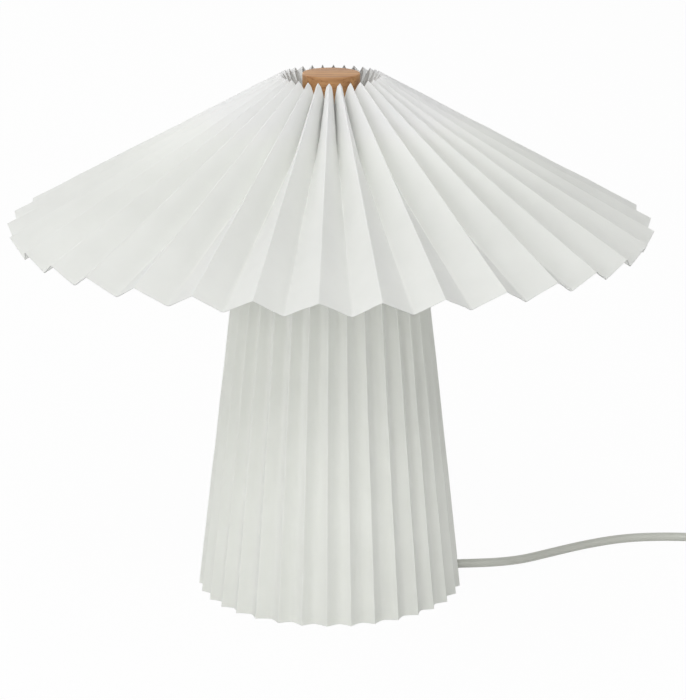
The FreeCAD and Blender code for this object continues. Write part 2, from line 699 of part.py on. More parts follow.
def lampholder_block():
    block_r = HOLDER_R - HOLDER_WALL - HOLDER_BLOCK_GAP
    body = cylinder(block_r, HOLDER_BLOCK_H, vec(0, 0, BLOCK_Z))
    for side in (-1, 1):
        corner = vec(side * WELL_OFFSET - WELL_W / 2, -block_r, BLOCK_Z)
        body = body.cut(Part.makeBox(WELL_W, WELL_D, WELL_H, corner))
    return body


def lampholder_thread():
    return ring(THREAD_SHELL_R, THREAD_BORE_R, THREAD_SHELL_H, vec(0, 0, THREAD_SHELL_Z))


def lampholder_tongue():
    strip = Part.makeBox(TONGUE_L, TONGUE_W, TONGUE_T, vec(-TONGUE_L / 2, -TONGUE_W / 2, TONGUE_Z))
    dome = cylinder(TONGUE_DOME_R, TONGUE_DOME_H, vec(0, 0, TONGUE_Z))
    return strip.fuse(dome)


# ---- bulb ------------------------------------------------------------------
BULB_CONTACT_Z = TONGUE_Z + TONGUE_DOME_H
BULB_CAP_Z = BULB_CONTACT_Z + BULB_TIP_H
BULB_COLLAR_Z = HOLDER_RIM_Z + BULB_COLLAR_GAP
BULB_COLLAR_TOP_Z = BULB_COLLAR_Z + BULB_COLLAR_H
GLOBE_Z = BULB_COLLAR_TOP_Z + math.sqrt(BULB_GLOBE_R ** 2 - GLOBE_RIM_R ** 2)


def bulb_contact():
    tip = cylinder(BULB_TIP_R, BULB_TIP_H - BULB_INSULATOR_H, vec(0, 0, BULB_CONTACT_Z))
    insulator = cylinder(BULB_INSULATOR_R, BULB_INSULATOR_H, vec(0, 0, BULB_CAP_Z - BULB_INSULATOR_H))
    return tip.fuse(insulator)


def bulb_cap():
    shoulder_z = BULB_CAP_Z + BULB_CAP_TAPER_H
    return turned([(0, BULB_CAP_Z), (BULB_INSULATOR_R, BULB_CAP_Z), (BULB_CAP_R, shoulder_z),
                   (BULB_CAP_R, BULB_COLLAR_Z), (0, BULB_COLLAR_Z)])


def bulb_collar():
    low = BULB_COLLAR_Z
    return turned([(0, low), (BULB_COLLAR_FOOT_R, low), (BULB_WAIST_R, low + BULB_WAIST_H),
                   (BULB_FLARE_R, low + BULB_FLARE_H), (GLOBE_RIM_R, BULB_COLLAR_TOP_Z),
                   (0, BULB_COLLAR_TOP_Z)])


def bulb_globe():
    whole = Part.makeSphere(BULB_GLOBE_R, vec(0, 0, GLOBE_Z))
    hollow = Part.makeSphere(BULB_GLOBE_R - BULB_GLOBE_WALL, vec(0, 0, GLOBE_Z))
    side = BULB_GLOBE_R * 4
    under = Part.makeBox(side, side, side, vec(-side / 2, -side / 2, BULB_COLLAR_TOP_Z - side))
    return whole.cut(hollow).cut(under)


# ---- flex ------------------------------------------------------------------
def cord_gland():
    """Moulded strain relief: a lock inside the wall, a flange outside it and a long taper."""
    wall_r = BASE_R - BASE_WALL
    inner = math.sqrt(wall_r ** 2 - GLAND_FLANGE_R ** 2) - FIT
    body = turned([(FLEX_R + FIT, inner - GLAND_LOCK_T), (GLAND_FLANGE_R, inner - GLAND_LOCK_T),
                   (GLAND_FLANGE_R, inner), (GLAND_NECK_R, inner), (GLAND_NECK_R, BASE_R),
                   (GLAND_FLANGE_R, BASE_R), (GLAND_FLANGE_R, BASE_R + GLAND_FLANGE_T),
                   (GLAND_TAPER_R, BASE_R + GLAND_FLANGE_T), (GLAND_TIP_R, GLAND_END_R),
                   (FLEX_R + FIT, GLAND_END_R)])
    return aimed(body, vec(0, 0, GLAND_Z), GLAND_ALONG)


def inner_cable():
    path = [along_gland(GLAND_END_R), vec(0, 0, GLAND_Z), vec(0, 0, CABLE_TOP_Z)]
    return tube_along(path, FLEX_R, bend_r=CABLE_BEND_R, name="inner_cable")


def switch_end(side):
    """Where the flex meets the outer end of a switch bush: side -1 towards the lamp, +1 towards the plug."""
    reach = SWITCH_L / 2 + SWITCH_BUSH_L
    return vec(SWITCH_AT[0] + side * reach, SWITCH_AT[1], SWITCH_AXIS_Z)


COIL_LOW_Z = TIE_T + FLEX_R
COIL_HIGH_Z = COIL_LOW_Z + TURN_PITCH
COIL_IN_END = vec(COIL_AT[0] + COIL_OUT_R, COIL_AT[1] - COIL_LEAD, COIL_LOW_Z)
COIL_OUT_END = vec(COIL_AT[0] - COIL_LEAD, COIL_AT[1] + COIL_OUT_R, COIL_HIGH_Z)
PLUG_AXIS_Z = PLUG_T / 2
PLUG_FLEX_END = vec(PLUG_RELIEF_END_X, COIL_OUT_END.y, PLUG_AXIS_Z)


def flex_to_switch():
    ahead = vec(FLEX_STRAIGHT, 0, 0)
    start = [along_gland(GLAND_END_R), along_gland(GLAND_END_R + FLEX_STRAIGHT)]
    route = start + [vec(*p) for p in FLEX_TO_SWITCH] + [switch_end(-1) - ahead, switch_end(-1)]
    return tube_along(route, FLEX_R, name="flex_to_switch")


def flex_to_coil():
    start = [switch_end(1), switch_end(1) + vec(FLEX_STRAIGHT, 0, 0)]
    end = [COIL_IN_END - vec(0, FLEX_STRAIGHT, 0), COIL_IN_END]
    route = start + [vec(*p) for p in FLEX_TO_COIL] + end
    return tube_along(route, FLEX_R, name="flex_to_coil")


def flex_to_plug():
    ahead = vec(PLUG_STRAIGHT, 0, 0)
    route = [COIL_OUT_END, COIL_OUT_END - ahead, PLUG_FLEX_END + ahead, PLUG_FLEX_END]
    return tube_along(route, FLEX_R, name="flex_to_plug")


def flex_coil():
    """The outer shape of the put-away turns, with the straight leads that enter and leave it."""
    low = COIL_LOW_Z - FLEX_R + COIL_SKIN
    height = COIL_HIGH_Z + FLEX_R - COIL_SKIN - low
    middle = vec(COIL_AT[0], COIL_AT[1], low)
    body = ring(COIL_OUT_R + FLEX_R + COIL_SPREAD, COIL_IN_R - FLEX_R, height, middle)
    lead_in = cylinder(FLEX_R, COIL_LEAD, COIL_IN_END, vec(0, 1, 0))
    lead_out = cylinder(FLEX_R, COIL_LEAD, COIL_OUT_END, vec(1, 0, 0))
    return body.fuse(lead_in).fuse(lead_out)


def coil_tie():
    """A flat strap round the bundle of turns, on the side away from the leads."""
    inner_r = math.sqrt((COIL_IN_R - FLEX_R) ** 2 - (TIE_W / 2) ** 2) - SEAT_GAP
    outer_r = COIL_OUT_R + FLEX_R + COIL_SPREAD + SEAT_GAP
    low = COIL_LOW_Z - FLEX_R
    height = COIL_HIGH_Z + FLEX_R - low
    hole = Part.makeBox(outer_r - inner_r, TIE_W, height, vec(inner_r, -TIE_W / 2, low))
    strap = Part.makeBox(outer_r - inner_r + 2 * TIE_T, TIE_W, height + 2 * TIE_T,
                         vec(inner_r - TIE_T, -TIE_W / 2, low - TIE_T))
    strap = strap.cut(hole)
    strap.rotate(GROUND, UP, TIE_DEG)
    strap.translate(vec(COIL_AT[0], COIL_AT[1], 0))
    return strap


# ---- inline switch ---------------------------------------------------------
def at_switch(x, y, z):
    return vec(SWITCH_AT[0] + x, SWITCH_AT[1] + y, z)


def rounded_block(length, width, corner_r, low_z, high_z):
    block = Part.makeBox(length, width, high_z - low_z, at_switch(-length / 2, -width / 2, low_z))
    upright = [e for e in block.Edges if abs(e.BoundBox.ZLength - (high_z - low_z)) < 0.01]
    return block.makeFillet(corner_r, upright)


def edge_rounded(block, z, edge_r):
    level = [e for e in block.Edges if abs(e.BoundBox.ZMin - z) < 0.01 and abs(e.BoundBox.ZMax - z) < 0.01]
    return block.makeFillet(edge_r, level)


def switch_half(low_z, high_z, outer_z):
    """One shell of the switch: a rounded cup with its outer face at outer_z."""
    outside = rounded_block(SWITCH_L, SWITCH_W, SWITCH_CORNER_R, low_z, high_z)
    outside = edge_rounded(outside, outer_z, SWITCH_EDGE_R)
    lift = SWITCH_WALL if outer_z == low_z else 0
    drop = SWITCH_WALL if outer_z == high_z else 0
    inside = rounded_block(SWITCH_L - 2 * SWITCH_WALL, SWITCH_W - 2 * SWITCH_WALL,
                           SWITCH_CORNER_R - SWITCH_WALL, low_z + lift, high_z - drop)
    shell = outside.cut(inside)
    for side in (-1, 1):
        start = at_switch(side * (SWITCH_L / 2 - SWITCH_WALL * 2), 0, SWITCH_AXIS_Z)
        hole = cylinder(SWITCH_BUSH_NECK_R + FIT, SWITCH_WALL * 4, start, vec(side, 0, 0))
        shell = shell.cut(hole)
    return shell


def switch_screw_places(z):
    x = SWITCH_SCREW_SPACING / 2
    return [at_switch(-x, -SWITCH_SCREW_OFFSET, z), at_switch(x, SWITCH_SCREW_OFFSET, z)]


def switch_base():
    shell = switch_half(0, SWITCH_SPLIT_Z, 0)
    inset = SWITCH_BOSS_INSET
    limit = rounded_block(SWITCH_L - 2 * inset, SWITCH_W - 2 * inset, SWITCH_CORNER_R - inset,
                          0, SWITCH_SPLIT_Z)
    for place in switch_screw_places(0):
        foot = place + vec(0, 0, SWITCH_WALL)
        boss = cylinder(SWITCH_SCREW_HEAD_R + SWITCH_BOSS_WALL, SWITCH_SPLIT_Z - SWITCH_WALL, foot)
        shell = shell.fuse(boss.common(limit))
    for place in switch_screw_places(0):
        shell = shell.cut(cylinder(SWITCH_SCREW_R + FIT, SWITCH_SPLIT_Z, place))
        shell = shell.cut(cylinder(SWITCH_SCREW_HEAD_R + FIT, SWITCH_SCREW_HEAD_H + SWITCH_SCREW_SUNK, place))
    return shell


PIVOT = at_switch(0, 0, SWITCH_H - ROCKER_PIVOT_DROP)


def switch_cover():
    shell = switch_half(SWITCH_SPLIT_Z, SWITCH_H, SWITCH_H)
    post_h = SWITCH_H - SWITCH_WALL - SWITCH_SPLIT_Z
    for place in switch_screw_places(SWITCH_SPLIT_Z):
        shell = shell.fuse(cylinder(SWITCH_SCREW_R + SWITCH_POST_WALL, post_h, place))
    for place in switch_screw_places(SWITCH_SPLIT_Z):
        shell = shell.cut(cylinder(SWITCH_SCREW_R + FIT, SWITCH_SCREW_L, place))
    slot_l = ROCKER_L + 2 * SLOT_END_GAP
    slot_w = ROCKER_W + 2 * ROCKER_GAP
    cheek_drop = ROCKER_PIVOT_DROP + TRUNNION_R + CHEEK_BELOW
    cheek_w = TRUNNION_L + CHEEK_WALL
    for side in (-1, 1):
        y = slot_w / 2 if side == 1 else -slot_w / 2 - cheek_w
        cheek = Part.makeBox(CHEEK_L, cheek_w, cheek_drop, at_switch(-CHEEK_L / 2, y, SWITCH_H - cheek_drop))
        shell = shell.fuse(cheek)
    slot = Part.makeBox(slot_l, slot_w, SWITCH_H, at_switch(-slot_l / 2, -slot_w / 2, SWITCH_SPLIT_Z))
    shell = shell.cut(slot)
    reach = ROCKER_W / 2 + TRUNNION_L + FIT
    bearing = cylinder(TRUNNION_R + FIT, reach * 2, PIVOT - vec(0, reach, 0), vec(0, 1, 0))
    return shell.cut(bearing)


def switch_rocker():
    half = ROCKER_L / 2
    flat = half - ROCKER_BEVEL_L
    side_z = ROCKER_BEVEL_H - ROCKER_DEPTH
    profile = [(-half, side_z), (-flat, -ROCKER_DEPTH), (flat, -ROCKER_DEPTH), (half, side_z),
               (half, ROCKER_END_RISE), (0, ROCKER_TOP_RISE), (-half, ROCKER_END_RISE)]
    corners = [PIVOT + vec(x, -ROCKER_W / 2, z) for x, z in profile + profile[:1]]
    body = Part.Face(Part.makePolygon(corners)).extrude(vec(0, ROCKER_W, 0))
    reach = ROCKER_W / 2 + TRUNNION_L
    body = body.fuse(cylinder(TRUNNION_R, reach * 2, PIVOT - vec(0, reach, 0), vec(0, 1, 0)))
    body.rotate(PIVOT, vec(0, 1, 0), -ROCKER_TILT_DEG)
    return body


def switch_bushes():
    """Tapered strain reliefs, one in each end of the switch."""
    bushes = []
    bore_r = FLEX_R + FIT
    inside = -SWITCH_WALL
    inner_end = inside - SWITCH_BUSH_NECK_L
    for side in (-1, 1):
        body = turned([(bore_r, inner_end), (SWITCH_BUSH_R, inner_end), (SWITCH_BUSH_R, inside),
                       (SWITCH_BUSH_NECK_R, inside), (SWITCH_BUSH_NECK_R, 0), (SWITCH_BUSH_R, 0),
                       (SWITCH_BUSH_R, SWITCH_BUSH_COLLAR), (SWITCH_BUSH_TIP_R, SWITCH_BUSH_L),
                       (bore_r, SWITCH_BUSH_L)])
        bushes.append(aimed(body, at_switch(side * SWITCH_L / 2, 0, SWITCH_AXIS_Z), vec(side, 0, 0)))
    return bushes


def switch_leads():
    """The sheathed ends of the flex inside the bushes, which meet the free flex at the bushes' tips."""
    length = SWITCH_BUSH_L + SWITCH_WALL + SWITCH_BUSH_NECK_L
    return [cylinder(FLEX_R, length, switch_end(side), vec(-side, 0, 0)) for side in (-1, 1)]


def switch_terminals():
    blocks = []
    for side in (-1, 1):
        corner = at_switch(side * TERMINAL_SPACING / 2 - TERMINAL_L / 2, -TERMINAL_W / 2, SWITCH_WALL)
        block = Part.makeBox(TERMINAL_L, TERMINAL_W, TERMINAL_H, corner)
        entry = corner + vec(0, TERMINAL_W / 2, TERMINAL_H / 2)
        wire_way = cylinder(WIRE_WAY_R, TERMINAL_L, entry, vec(1, 0, 0))
        blocks.append(block.cut(wire_way))
    return blocks


def switch_screws():
    screws = []
    for place in switch_screw_places(SWITCH_SCREW_SUNK):
        head = cylinder(SWITCH_SCREW_HEAD_R, SWITCH_SCREW_HEAD_H, place)
        shank = cylinder(SWITCH_SCREW_R, SWITCH_SCREW_L, place + vec(0, 0, SWITCH_SCREW_HEAD_H))
        screws.append(head.fuse(shank))
    return screws


# ---- plug ------------------------------------------------------------------
PLUG_BACK_X = PLUG_RELIEF_END_X - PLUG_RELIEF_L
PLUG_Y = COIL_OUT_END.y


def plug_body():
    """Flat two-pin body, wide at the pins, narrow at the flex, with its tapered relief moulded on."""
    outline = [(0, PLUG_TAIL_W / 2), (-PLUG_SHOULDER_L, PLUG_W / 2), (-PLUG_L, PLUG_W / 2),
               (-PLUG_L, -PLUG_W / 2), (-PLUG_SHOULDER_L, -PLUG_W / 2), (0, -PLUG_TAIL_W / 2)]
    corners = [vec(PLUG_BACK_X + x, PLUG_Y + y, 0) for x, y in outline + outline[:1]]
    body = Part.Face(Part.makePolygon(corners)).extrude(vec(0, 0, PLUG_T))
    body = body.makeFillet(PLUG_EDGE_R, body.Edges)
    relief = turned([(0, -PLUG_EDGE_R), (PLUG_RELIEF_R, -PLUG_EDGE_R), (PLUG_RELIEF_R, PLUG_RELIEF_NECK),
                     (PLUG_RELIEF_TIP_R, PLUG_RELIEF_L), (0, PLUG_RELIEF_L)])
    body = body.fuse(aimed(relief, vec(PLUG_BACK_X, PLUG_Y, PLUG_AXIS_Z), vec(1, 0, 0)))
    for start in pin_roots():
        body = body.cut(cylinder(PIN_R + FIT, PIN_ROOT + 1, start, vec(-1, 0, 0)))
    return body


def pin_roots():
    face_x = PLUG_BACK_X - PLUG_L
    return [vec(face_x + PIN_ROOT, PLUG_Y + side * PIN_SPACING / 2, PLUG_AXIS_Z) for side in (-1, 1)]


def plug_pins():
    pins = []
    for start in pin_roots():
        pin = cylinder(PIN_R, PIN_ROOT + PIN_L, start, vec(-1, 0, 0))
        tip_x = start.x - PIN_ROOT - PIN_L
        tip = [e for e in pin.Edges if abs(e.BoundBox.Center.x - tip_x) < 0.01]
        pins.append(pin.makeFillet(PIN_TIP_R, tip))
    return pins


def plug_sleeves():
    return [ring(PIN_SLEEVE_R, PIN_R + FIT, PIN_SLEEVE_L, start - vec(PIN_ROOT, 0, 0), vec(-1, 0, 0))
            for start in pin_roots()]


# ---- one file for each node ------------------------------------------------
NODES = {
    "feet": feet,
    "bottom_cover": bottom_cover,
    "cover_screws": cover_screws,
    "ballast_ring": ballast_ring,
    "base_shell": base_shell,
    "stem_tube": stem_tube,
    "stem_nuts": stem_nuts,
    "stem_washers": stem_washers,
    "skirt_ring_low": lambda: skirt_ring(SKIRT_RING_LOW_Z),
    "skirt_ring_high": lambda: skirt_ring(SKIRT_RING_HIGH_Z),
    "skirt_ribs": skirt_ribs,
    "skirt_spider": skirt_spider,
    "skirt_paper": skirt_paper,
    "harp_spacer": harp_spacer,
    "harp_saddle": harp_saddle,
    "harp": harp,
    "finial_stud": finial_stud,
    "lampholder_cap": lampholder_cap,
    "lampholder_body": lampholder_body,
    "lampholder_block": lampholder_block,
    "lampholder_thread": lampholder_thread,
    "lampholder_tongue": lampholder_tongue,
    "bulb_contact": bulb_contact,
    "bulb_cap": bulb_cap,
    "bulb_collar": bulb_collar,
    "bulb_globe": bulb_globe,
    "shade_spider": shade_spider,
    "shade_ring_high": lambda: shade_ring(SHADE_RING_HIGH_R),
    "shade_ring_low": lambda: shade_ring(SHADE_RING_LOW_R),
    "shade_paper": shade_paper,
    "cap_washer": cap_washer,
    "wooden_cap": wooden_cap,
    "cap_insert": cap_insert,
    "cord_gland": cord_gland,
    "inner_cable": inner_cable,
    "flex_to_switch": flex_to_switch,
    "switch_base": switch_base,
    "switch_cover": switch_cover,
    "switch_rocker": switch_rocker,
    "switch_bushes": switch_bushes,
    "switch_leads": switch_leads,
    "switch_terminals": switch_terminals,
    "switch_screws": switch_screws,
    "flex_to_coil": flex_to_coil,
    "flex_coil": flex_coil,
    "coil_tie": coil_tie,
    "flex_to_plug": flex_to_plug,
    "plug_body": plug_body,
    "plug_pins": plug_pins,
    "plug_sleeves": plug_sleeves,
}

os.makedirs("parts", exist_ok=True)
for name, make in NODES.items():
    made = make()
    solids = made if isinstance(made, list) else [made]
    shape = solids[0] if len(solids) == 1 else Part.makeCompound(solids)
    sound = shape.isValid() and all(s.Volume > 0 for s in shape.Solids)
    print(name, "solids", len(shape.Solids), "volume", round(shape.Volume, 1), "" if sound else "NOT SOUND")
    shape.exportStep("parts/" + name + ".step")
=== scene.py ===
# %% [markdown]
# # A pleated paper table lamp
# The lamp's frame, base, bulb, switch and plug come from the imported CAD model. This notebook
# folds the two papers, turns the wooden cap, lays the flex, and gives every piece its finish.
# Lengths are typed in millimetres and multiplied by MM, because Blender works in metres.

import json
import math

import bmesh
import bpy
from mathutils import Matrix, Vector


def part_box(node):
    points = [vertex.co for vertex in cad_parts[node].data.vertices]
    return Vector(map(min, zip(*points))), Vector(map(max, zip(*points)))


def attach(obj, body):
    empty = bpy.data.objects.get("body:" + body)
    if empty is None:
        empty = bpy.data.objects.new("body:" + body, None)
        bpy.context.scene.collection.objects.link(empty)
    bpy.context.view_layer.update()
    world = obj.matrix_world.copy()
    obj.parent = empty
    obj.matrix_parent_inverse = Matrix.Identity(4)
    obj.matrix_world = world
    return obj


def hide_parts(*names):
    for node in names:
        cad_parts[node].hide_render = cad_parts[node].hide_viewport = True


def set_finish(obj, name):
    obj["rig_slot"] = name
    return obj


MM = 0.001
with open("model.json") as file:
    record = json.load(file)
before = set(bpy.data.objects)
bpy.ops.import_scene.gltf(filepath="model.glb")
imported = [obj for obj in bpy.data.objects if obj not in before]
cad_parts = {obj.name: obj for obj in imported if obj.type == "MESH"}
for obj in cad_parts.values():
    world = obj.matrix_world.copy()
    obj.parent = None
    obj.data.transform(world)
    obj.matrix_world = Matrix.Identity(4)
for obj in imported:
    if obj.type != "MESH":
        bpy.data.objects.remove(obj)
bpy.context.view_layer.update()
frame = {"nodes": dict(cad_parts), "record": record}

# %% [markdown]
# ## Camera
# The photo was taken from a little above, with a long lens from about two metres. A long lens
# keeps the skirt's sides nearly parallel. The three angles come from the lamp's own ellipses:
# the rim, the cap and the foot are circles that the view flattens.

# %% Camera
CAMERA_AT = (0, -1.965, 0.721)
LENS_MM = 155.5
LOOK_DOWN, YAW, ROLL = 0.2755, -0.0043, 0.0039

bpy.ops.object.camera_add(location=CAMERA_AT)
camera = bpy.context.object
camera.data.lens = LENS_MM
aim = Matrix.Rotation(YAW, 3, "Z") @ Matrix.Rotation(math.pi / 2 - LOOK_DOWN, 3, "X")
camera.rotation_euler = (aim @ Matrix.Rotation(ROLL, 3, "Z")).to_euler()
bpy.context.scene.camera = camera
print("camera looks down by", round(math.degrees(LOOK_DOWN), 1), "degrees")

# %% [markdown]
# ## Flex
# A round mains flex is a stiff, smooth thing: it leaves each moulding straight and then takes
# wide bends. A NURBS curve does this well, because it rounds the corners of the few points it
# is given. The curve's bevel is one metre thick, and each point's radius scales it down to the
# flex's own, which also keeps the curve's measured box tight.

# %% A flex along a list of points
FLEX_R = 3.0


def lay_flex(name, points):
    curve = bpy.data.curves.new(name, "CURVE")
    curve.dimensions = "3D"
    curve.bevel_depth = 1.0
    curve.bevel_resolution = 6
    curve.use_fill_caps = True
    spline = curve.splines.new("NURBS")
    spline.points.add(len(points) - 1)
    for control, place in zip(spline.points, points):
        control.co = (place[0] * MM, place[1] * MM, place[2] * MM, 1)
        control.radius = FLEX_R * MM
    spline.order_u = 3
    spline.use_endpoint_u = True
    flex = bpy.data.objects.new(name, curve)
    bpy.context.scene.collection.objects.link(flex)
    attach(flex, "root")
    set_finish(flex, "flex_sheath")
    print(name, "follows", len(points), "points")
    return flex


# %% [markdown]
# The first stretch runs from the strain relief in the skirt, over the table in one lazy S, to
# the inline switch just outside the picture. Its two ends are pairs of points in line with the
# mouldings, so that it leaves them straight. The points between are placed one by one along
# the photo's flex.

# %% Flex from the lamp to the switch
GLAND_ANGLE = math.radians(5)
GLAND_END_R, GLAND_Z = 86.0, 10.0
STRAIGHT = 17.0                  # how far the flex runs on in line with a moulding
SWITCH_X, SWITCH_Y, SWITCH_AXIS_Z = 340.0, 78.0, 8.0
SWITCH_REACH = 43.0              # from the switch's middle to the end of a bush


def on_gland_line(r):
    return (r * math.cos(GLAND_ANGLE), r * math.sin(GLAND_ANGLE), GLAND_Z)


to_switch = [
    on_gland_line(GLAND_END_R), on_gland_line(GLAND_END_R + STRAIGHT),
    (118.5, 18.5, 7.4), (136.0, 34.0, 4.0), (157.0, 51.5, 3.0), (184.0, 69.5, 3.0),
    (212.0, 82.5, 3.0), (240.0, 85.5, 3.0), (263.0, 82.0, 3.6),
    (SWITCH_X - SWITCH_REACH - STRAIGHT, SWITCH_Y, SWITCH_AXIS_Z),
    (SWITCH_X - SWITCH_REACH, SWITCH_Y, SWITCH_AXIS_Z)]
lamp_flex = lay_flex("lamp_flex", to_switch)
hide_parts("flex_to_switch")

# %% [markdown]
# The rest of the flex is put away as in a new lamp's box: three turns inward on the table, a
# short climb, and three turns outward on top of them, ending at the plug. It could be drawn
# point by point, but a loop that works out the turns keeps them evenly spaced. Each point is
# pushed out a little, because a curve of this kind runs inside its points.

# %% Points of the coil
COIL_X, COIL_Y = 417.0, 165.0
COIL_OUT_R, COIL_IN_R = 42.4, 24.3
COIL_LOW_Z, COIL_HIGH_Z = 4.0, 10.2
TURNS_IN, TURNS_OUT = 3.0, 3.25
CLIMB_TURNS = 0.3
POINTS_PER_TURN = 20


def coil_points():
    points = []
    steps = round((TURNS_IN + TURNS_OUT) * POINTS_PER_TURN)
    for k in range(1, steps):
        turns = k / POINTS_PER_TURN
        if turns < TURNS_IN:
            r = COIL_OUT_R + (COIL_IN_R - COIL_OUT_R) * turns / TURNS_IN
        else:
            r = COIL_IN_R + (COIL_OUT_R - COIL_IN_R) * (turns - TURNS_IN) / TURNS_OUT
        climb = min(max((turns - TURNS_IN + CLIMB_TURNS) / CLIMB_TURNS, 0), 1)
        r /= math.cos(math.pi / POINTS_PER_TURN)
        angle = math.tau * turns
        points.append((COIL_X + r * math.cos(angle), COIL_Y + r * math.sin(angle),
                       COIL_LOW_Z + (COIL_HIGH_Z - COIL_LOW_Z) * climb))
    return points


# %% Flex from the switch to the plug, with its coil
COIL_LEAD = 28.0                 # straight stretch before and after the turns
PLUG_STRAIGHT = 11.0
PLUG_RELIEF_END_X, PLUG_AXIS_Z = 354.0, 6.85

switch_out = SWITCH_X + SWITCH_REACH
coil_in_x = COIL_X + COIL_OUT_R
coil_out_y = COIL_Y + COIL_OUT_R
to_plug = [
    (switch_out, SWITCH_Y, SWITCH_AXIS_Z), (switch_out + STRAIGHT, SWITCH_Y, SWITCH_AXIS_Z),
    (417.0, 81.0, 5.6), (436.0, 91.0, 4.0), (452.0, 104.0, 4.0),
    (coil_in_x, COIL_Y - COIL_LEAD - STRAIGHT, COIL_LOW_Z),
    (coil_in_x, COIL_Y - COIL_LEAD, COIL_LOW_Z)]
to_plug += coil_points()
to_plug += [
    (COIL_X - COIL_LEAD, coil_out_y, COIL_HIGH_Z),
    (COIL_X - COIL_LEAD - PLUG_STRAIGHT, coil_out_y, COIL_HIGH_Z),
    (PLUG_RELIEF_END_X + PLUG_STRAIGHT, coil_out_y, PLUG_AXIS_Z),
    (PLUG_RELIEF_END_X, coil_out_y, PLUG_AXIS_Z)]
plug_flex = lay_flex("plug_flex", to_plug)
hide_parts("flex_to_coil", "flex_coil", "flex_to_plug")

# %% [markdown]
# The two stretches of flex together are about 1.8 m, which is what a lamp of this kind has.


# %% [markdown]
# ## Modelling helpers
# Operators act on whatever is selected, so each piece starts with nothing selected, and edges
# or points are then picked by where they are. A finished piece has its own origin at the
# lamp's, so that it moves like the CAD pieces.

# %% Helpers for starting and ending a piece
def deselect():
    if bpy.context.object and bpy.context.object.mode == "EDIT":
        bpy.ops.mesh.select_all(action="DESELECT")
    else:
        bpy.ops.object.select_all(action="DESELECT")


def start_piece(name):
    """Name the primitive that was just added, and open it in edit mode."""
    piece = bpy.context.object
    piece.name = name
    piece.data.name = name
    bpy.ops.object.mode_set(mode="EDIT")
    return piece


def end_piece(piece, body, slot, *nodes):
    """Leave edit mode, put the object's own origin at the lamp's, and tie it to its body."""
    bpy.ops.object.mode_set(mode="OBJECT")
    bpy.ops.object.transform_apply(location=True, rotation=True, scale=True)
    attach(piece, body)
    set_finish(piece, slot)
    if nodes:
        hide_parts(*nodes)
    print(piece.name, "has", len(piece.data.polygons), "faces")


def apply_modifier(piece, kind, **settings):
    modifier = piece.modifiers.new(kind.lower(), kind)
    for key, value in settings.items():
        setattr(modifier, key, value)
    bpy.context.view_layer.objects.active = piece
    bpy.ops.object.modifier_apply(modifier=modifier.name)


# %% Helpers for picking
def pick_points(piece, wanted):
    """Select the vertices for which wanted(place) is true, and what lies between them."""
    bpy.ops.mesh.select_mode(type="VERT")
    bpy.ops.mesh.select_all(action="DESELECT")
    mesh = bmesh.from_edit_mesh(piece.data)
    place = piece.matrix_world
    for vertex in mesh.verts:
        vertex.select = bool(wanted(place @ vertex.co))
    mesh.select_flush_mode()
    bmesh.update_edit_mesh(piece.data)


def pick_edges(piece, wanted):
    """Select the edges for which wanted(end, other_end) is true."""
    bpy.ops.mesh.select_mode(type="EDGE")
    bpy.ops.mesh.select_all(action="DESELECT")
    mesh = bmesh.from_edit_mesh(piece.data)
    place = piece.matrix_world
    for edge in mesh.edges:
        edge.select = bool(wanted(place @ edge.verts[0].co, place @ edge.verts[1].co))
    bmesh.update_edit_mesh(piece.data)


# %% [markdown]
# ## Pleated papers
# The real shade and skirt are strips of paper folded like an accordion and closed to a ring.
# A circle with two points for each pleat is the same thing: every second point is drawn in to
# make the inner folds, the ring is extruded to the other end, and the ends get their own
# sizes. Hand-folded paper is never quite even, so each fold is turned by a small angle of its
# own, the same as in the CAD model.

# %% The folds' own small angles
PLEATS = 34
STEP_DEG = 360 / PLEATS
UNEVEN_DEG = 0.45


def stray_deg(index):
    return UNEVEN_DEG * (math.sin(2.4 * index) + math.sin(0.9 * index + 1.0)) / 2


def degrees_round(place):
    """How far round the lamp a place is, from the front towards +X."""
    return math.degrees(math.atan2(place.x, -place.y))


def between(a, b):
    """The smallest angle between two directions in degrees."""
    return abs((a - b + 180) % 360 - 180)


# %% Move what is picked
CENTRE = (0, 0, 0)


def turn_picked(degrees):
    """Turn what is selected about the lamp's axis, from the front towards +X."""
    bpy.ops.transform.rotate(value=-math.radians(degrees), orient_axis="Z",
                             center_override=CENTRE)


def draw_in(start, end):
    """Move the selected points from the radius and height in start to those in end."""
    k = end[0] / start[0]
    bpy.ops.transform.resize(value=(k, k, 1), center_override=CENTRE)
    bpy.ops.transform.translate(value=(0, 0, (end[1] - start[1]) * MM))


# %% Fold a ring of paper
ON_FOLD_DEG = 1.0                # a point this near to a fold's angle belongs to it


def fold_ring(name, outer, inner, first_deg):
    """Outer and inner are the two ends of the folds, low then high, as (r, z) in mm."""
    deselect()
    bpy.ops.mesh.primitive_circle_add(vertices=2 * PLEATS, radius=outer[0][0] * MM,
                                      location=(0, 0, outer[0][1] * MM))
    paper = start_piece(name)
    bpy.ops.mesh.select_all(action="SELECT")
    bpy.ops.mesh.extrude_region_move()
    draw_in(outer[0], outer[1])
    middle_z = (outer[0][1] + outer[1][1]) / 2 * MM

    def is_valley(p):
        return between(degrees_round(p) * PLEATS, 180) < 90

    pick_points(paper, lambda p: is_valley(p) and p.z < middle_z)
    draw_in(outer[0], inner[0])
    pick_points(paper, lambda p: is_valley(p) and p.z > middle_z)
    draw_in(outer[1], inner[1])
    bpy.ops.mesh.select_all(action="SELECT")
    turn_picked(first_deg)
    for i in range(2 * PLEATS):
        fold_deg = first_deg + i * STEP_DEG / 2
        pick_points(paper, lambda p: between(degrees_round(p), fold_deg) < ON_FOLD_DEG)
        turn_picked(stray_deg(i))
    return paper


